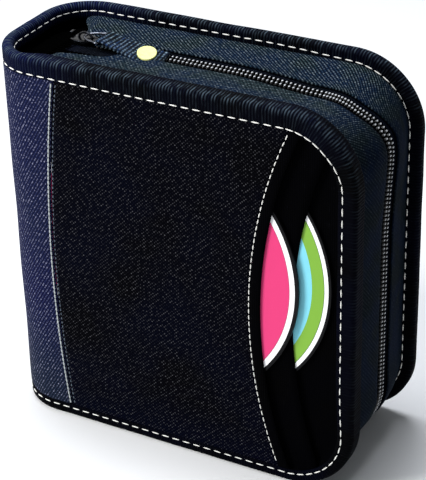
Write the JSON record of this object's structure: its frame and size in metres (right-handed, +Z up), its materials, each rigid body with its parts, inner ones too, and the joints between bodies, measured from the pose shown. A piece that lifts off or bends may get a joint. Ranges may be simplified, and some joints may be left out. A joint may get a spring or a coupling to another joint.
{
  "type": "disc storage case",
  "caption": "Zip-round cloth storage case for discs, with sleeve pages, two curved front pockets and a webbing zip pull.",
  "frame": {"origin": "centre of the case's footprint, on the surface that it stands on", "axes": "+Z up along the spine, +X from the spine to the fore-edge, -Y out of the front cover"},
  "size_m": [0.162, 0.066, 0.1657],
  "materials": {
    "navy_twill": "woven twill",
    "ballistic_weave": "coarse plain weave",
    "plain_cloth": "smooth",
    "slate_twill": "woven twill",
    "grosgrain": "ribbed tape",
    "black_lining": "smooth",
    "grey_board": "pressed board",
    "zip_tape": "woven tape",
    "zip_coil": "moulded coil",
    "slider_metal": "dark enamel",
    "plated_wire": "plated wire",
    "webbing": "ribbed webbing",
    "pale_rubber": "matte",
    "sleeve_film": "sleeve film",
    "pink_print": "printed disc",
    "cyan_print": "printed disc"
  },
  "bodies": {
    "spine": {"spine_panel": "navy_twill", "spine_board": "grey_board", "spine_lining": "black_lining", "spine_top_binding": "grosgrain", "spine_bottom_binding": "grosgrain", "page_strip": "black_lining", "sleeve_pages": "sleeve_film"},
    "front_cover": {"front_spine_wing": "navy_twill", "front_base_panel": "plain_cloth", "front_board": "grey_board", "front_lining": "black_lining", "front_binding": "grosgrain", "front_gusset": "slate_twill", "front_zip_tape": "zip_tape", "front_zip_teeth": "zip_coil", "front_zip_bottom_stop": "slider_metal", "outer_pocket": "ballistic_weave", "outer_pocket_band": "plain_cloth", "first_disc": "pink_print", "inner_pocket": "plain_cloth", "second_disc": "cyan_print"},
    "rear_cover": {"rear_spine_wing": "navy_twill", "rear_panel": "ballistic_weave", "rear_board": "grey_board", "rear_lining": "black_lining", "rear_binding": "grosgrain", "rear_gusset": "slate_twill", "rear_zip_tape": "zip_tape", "rear_zip_teeth": "zip_coil", "rear_zip_top_stop": "slider_metal", "rear_zip_bottom_stop": "slider_metal"},
    "slider": {"zip_slider": "slider_metal"},
    "pull": {"pull_ring": "plated_wire", "pull_tab": "webbing", "pull_dot": "pale_rubber"}
  },
  "joints": [
    {"name": "front_fold", "type": "hinge", "parent": "spine", "child": "front_cover", "pos_m": [-0.065, -0.03217, 0], "axis": [0, 0, -1], "range_deg": [0, 110]},
    {"name": "rear_fold", "type": "hinge", "parent": "spine", "child": "rear_cover", "pos_m": [-0.065, 0.03217, 0], "axis": [0, 0, 1], "range_deg": [0, 110]},
    {"name": "zip_run", "type": "slide", "parent": "rear_cover", "child": "slider", "axis": [1, 0, 0], "range_m": [0, 0.1]},
    {"name": "pull_swing", "type": "hinge", "parent": "slider", "child": "pull", "pos_m": [-0.055, 0.0035, 0.16395], "axis": [0, -1, 0], "range_deg": [0, 160]}
  ]
}
